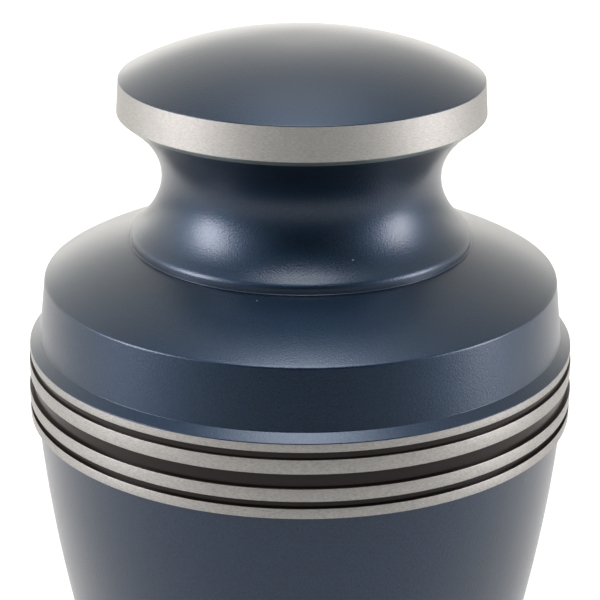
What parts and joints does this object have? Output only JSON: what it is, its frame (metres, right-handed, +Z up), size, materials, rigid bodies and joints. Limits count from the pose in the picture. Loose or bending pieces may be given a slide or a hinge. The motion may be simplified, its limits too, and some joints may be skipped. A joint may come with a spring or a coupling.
{
  "type": "funeral urn",
  "caption": "Round footed metal urn in satin blue lacquer, with brushed bands and a lift-off domed lid, for keeping ashes.",
  "frame": {"origin": "centre of the foot's underside, on the surface that the urn stands on", "axes": "+Z up along the urn's axis of revolution; X and Y are equal"},
  "size_m": [0.172, 0.172, 0.267],
  "materials": {
    "blue_lacquer": "satin"
  },
  "bodies": {
    "root": {"urn_body": "blue_lacquer", "lid": "blue_lacquer"}
  },
  "joints": []
}
